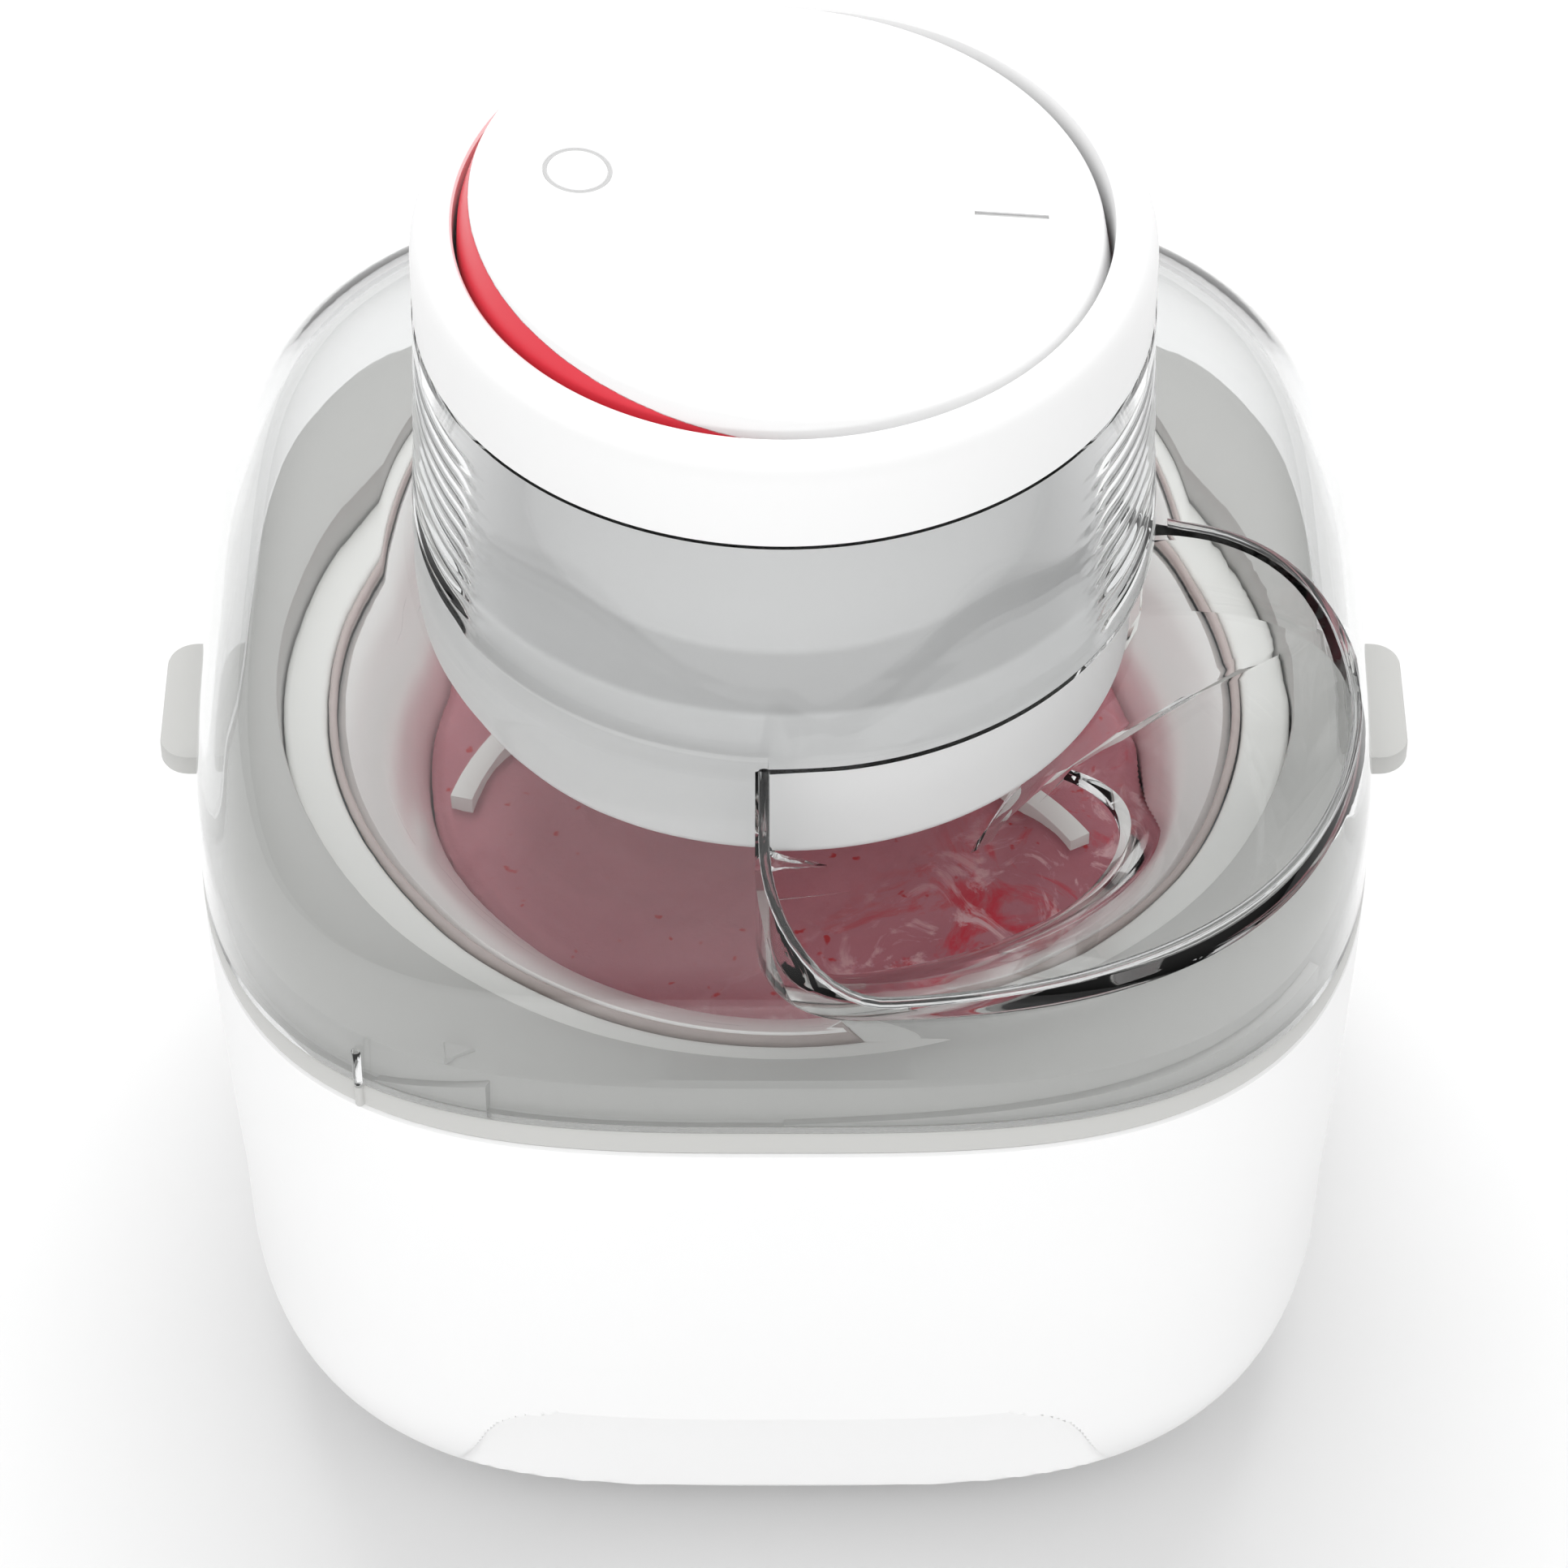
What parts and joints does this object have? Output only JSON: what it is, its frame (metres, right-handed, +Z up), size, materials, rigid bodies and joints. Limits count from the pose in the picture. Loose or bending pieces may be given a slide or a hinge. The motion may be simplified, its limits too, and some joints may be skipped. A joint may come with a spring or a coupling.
{
  "type": "ice cream maker",
  "caption": "Freezer-bowl ice cream maker: white base, grey collar with ears, clear domed lid with an ingredient chute, and a round motor head with a large rocker switch.",
  "frame": {"origin": "on the surface the feet stand on, at the centre of the bounding box", "axes": "+Z up along the bowl's axis, front towards -Y, +X to the right when seen from the front"},
  "size_m": [0.242, 0.226, 0.264],
  "materials": {
    "white_plastic": "gloss",
    "grey_plastic": "satin",
    "pale_plastic": "satin",
    "clear_plastic": "clear gloss",
    "red_plastic": "gloss",
    "rubber": "matt",
    "seal": "matt",
    "aluminium": "satin",
    "steel": "satin",
    "brass": "satin",
    "acetal": "satin",
    "copper": "enamelled",
    "black_plastic": "matt",
    "gel": "satin"
  },
  "bodies": {
    "base": {"base_shell": "white_plastic", "base_weight_plate": "steel", "foot_front_left": "rubber", "foot_front_right": "rubber", "foot_rear_left": "rubber", "foot_rear_right": "rubber", "plate_screw_1": "steel", "plate_screw_2": "steel", "plate_screw_3": "steel", "plate_screw_4": "steel"},
    "bowl": {"bowl_outer_shell": "pale_plastic", "bowl_liner": "aluminium", "coolant_gel": "gel", "coolant_fill_plug": "rubber", "bowl_rim_seal": "seal", "bowl_collar": "grey_plastic"},
    "paddle": {"mixing_paddle": "pale_plastic"},
    "lid": {"lid": "clear_plastic"},
    "head": {"head_cap": "white_plastic", "motor_housing": "white_plastic", "switch_deck": "white_plastic", "switch_body": "black_plastic", "gearbox_plate": "steel", "gearbox_post_1": "white_plastic", "gearbox_post_2": "white_plastic", "gearbox_post_3": "white_plastic", "gearbox_screw_1": "steel", "gearbox_screw_2": "steel", "gearbox_screw_3": "steel", "motor_can": "steel", "motor_end_cap": "steel", "motor_stator": "copper", "motor_bush": "brass", "output_bush": "brass", "gear_pin_first": "steel", "gear_pin_second": "steel", "cord_inlet_bush": "black_plastic"},
    "motor_rotor_assembly": {"motor_shaft": "steel", "motor_rotor": "steel", "motor_pinion": "brass"},
    "first_gear": {"stepped_gear_first": "acetal"},
    "second_gear": {"stepped_gear_second": "acetal"},
    "output": {"output_gear": "acetal", "output_shaft": "steel", "drive_coupling": "black_plastic"},
    "rocker": {"rocker_disc": "white_plastic", "rocker_red_band": "red_plastic", "rocker_pivot_pin": "steel"},
    "plunger": {"switch_plunger": "white_plastic"}
  },
  "joints": [
    {"name": "bowl_lift", "type": "slide", "parent": "base", "child": "bowl", "axis": [0, 0, 1], "range_m": [0, 0.14]},
    {"name": "lid_lift", "type": "slide", "parent": "bowl", "child": "lid", "axis": [0, 0, 1], "range_m": [0, 0.12]},
    {"name": "head_lift", "type": "slide", "parent": "lid", "child": "head", "axis": [0, 0, 1], "range_m": [0, 0.115]},
    {"name": "paddle_spin", "type": "hinge", "parent": "bowl", "child": "paddle", "pos_m": [0, 0, 0.1], "axis": [0, 0, 1], "continuous": true},
    {"name": "output_spin", "type": "hinge", "parent": "head", "child": "output", "pos_m": [0, 0, 0.167], "axis": [0, 0, 1], "continuous": true},
    {"name": "second_gear_spin", "type": "hinge", "parent": "head", "child": "second_gear", "pos_m": [-0.03069, 0.0193, 0.17], "axis": [0, 0, 1], "continuous": true},
    {"name": "first_gear_spin", "type": "hinge", "parent": "head", "child": "first_gear", "pos_m": [-0.00469, 0.02659, 0.18], "axis": [0, 0, 1], "continuous": true},
    {"name": "motor_spin", "type": "hinge", "parent": "head", "child": "motor_rotor_assembly", "pos_m": [0, 0, 0.2], "axis": [0, 0, 1], "continuous": true},
    {"name": "power_rocker", "type": "hinge", "parent": "head", "child": "rocker", "pos_m": [0, 0, 0.25], "axis": [0, 1, 0], "range_deg": [-9, 0]},
    {"name": "plunger_travel", "type": "slide", "parent": "head", "child": "plunger", "axis": [0, 0, 1], "range_m": [0, 0.0036]}
  ],
  "couplings": [
    {"joint": "output_spin", "follows": "paddle_spin", "ratio": 1},
    {"joint": "second_gear_spin", "follows": "paddle_spin", "ratio": -3.1429},
    {"joint": "first_gear_spin", "follows": "paddle_spin", "ratio": 11},
    {"joint": "motor_spin", "follows": "paddle_spin", "ratio": -38.5},
    {"joint": "plunger_travel", "follows": "power_rocker", "m_per_rad": -0.022}
  ]
}
